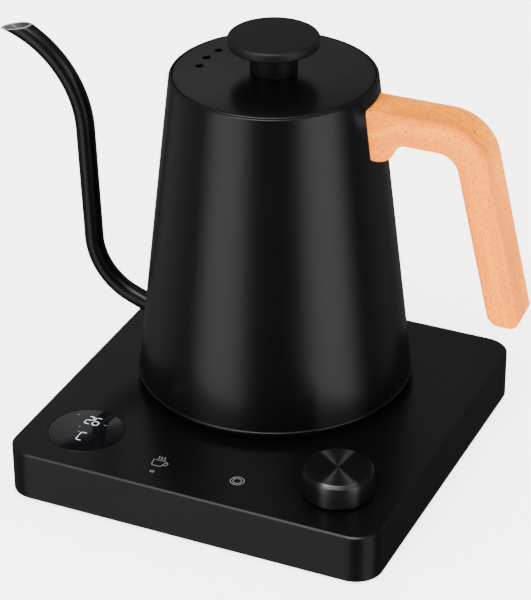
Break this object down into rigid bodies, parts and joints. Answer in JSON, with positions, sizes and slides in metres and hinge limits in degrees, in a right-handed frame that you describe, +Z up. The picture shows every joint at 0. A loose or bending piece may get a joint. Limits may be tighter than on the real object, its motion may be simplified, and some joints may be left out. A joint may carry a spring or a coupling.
{
  "type": "electric gooseneck kettle",
  "caption": "Electric gooseneck kettle: tapered body with a thin bent spout, lift-off lid and wooden handle, on a square heating base with a dial.",
  "frame": {"origin": "middle of the whole object's footprint, on the surface it stands on", "axes": "+X from the spout towards the handle, +Y from the front keys towards the rear cord inlet, +Z up"},
  "size_m": [0.2594, 0.185, 0.2028],
  "materials": {
    "satin_black_shell": "satin black moulded housing",
    "satin_black_steel": "satin black baked coating on steel",
    "black_plastic": "fine moulded black",
    "gloss_lens": "high-gloss smoked window",
    "brushed_dial": "black anodised, radially brushed top",
    "beech": "oiled beech with short flecks",
    "bare_steel": "satin stainless",
    "zinc_steel": "zinc-plated",
    "brass_contact": "plain",
    "silicone": "soft grey silicone",
    "black_rubber": "matt",
    "board_green": "solder-masked board",
    "component_grey": "mixed moulded components",
    "display_black": "lit display block"
  },
  "bodies": {
    "base": {"base_housing": "satin_black_shell", "base_cover": "black_plastic", "base_screws": "zinc_steel", "rubber_feet": "black_rubber", "display_lens": "gloss_lens", "display_module": "display_black", "touch_electrodes": "brass_contact", "control_board": "board_green", "power_board": "board_green", "board_parts": "component_grey", "board_screws": "zinc_steel", "encoder_body": "zinc_steel", "encoder_nut": "zinc_steel", "cord_gland": "black_rubber", "base_connector": "black_plastic", "base_contacts": "brass_contact", "connector_screws": "zinc_steel"},
    "dial_plunger": {"switch_plunger": "black_plastic"},
    "dial": {"encoder_shaft": "zinc_steel", "dial_knob": "brushed_dial"},
    "coupler": {"kettle_connector": "black_plastic", "kettle_contacts": "brass_contact"},
    "kettle": {"kettle_body": "satin_black_steel", "trim_ring": "satin_black_steel", "lower_cover": "black_plastic", "cover_screws": "zinc_steel", "plate_posts": "zinc_steel", "heater_plate": "bare_steel", "heating_element": "zinc_steel", "thermal_cutout": "component_grey", "temperature_probe": "bare_steel", "probe_nut": "zinc_steel", "spout_tube": "satin_black_steel", "handle_bracket": "bare_steel", "handle_screws": "zinc_steel", "wooden_handle": "beech"},
    "lid": {"lid_cover": "satin_black_steel", "lid_liner": "bare_steel", "lid_seal": "silicone", "lid_grip": "black_plastic", "lid_screw": "zinc_steel"}
  },
  "joints": [
    {"name": "kettle_lift", "type": "slide", "parent": "base", "child": "coupler", "axis": [0, 0, 1], "range_m": [0, 0.25]},
    {"name": "kettle_turn", "type": "hinge", "parent": "coupler", "child": "kettle", "pos_m": [0.00702, 0.02285, 0.031], "axis": [0, 0, 1], "continuous": true},
    {"name": "lid_lift", "type": "slide", "parent": "kettle", "child": "lid", "axis": [0, 0, 1], "range_m": [0, 0.12]},
    {"name": "dial_push", "type": "slide", "parent": "base", "child": "dial_plunger", "axis": [0, 0, -1], "range_m": [0, 0.0005], "stiffness_N_per_m": 1500, "springref_m": -0.0015},
    {"name": "dial_turn", "type": "hinge", "parent": "dial_plunger", "child": "dial", "pos_m": [0.07567, -0.0612, 0.03], "axis": [0, 0, 1], "continuous": true}
  ]
}
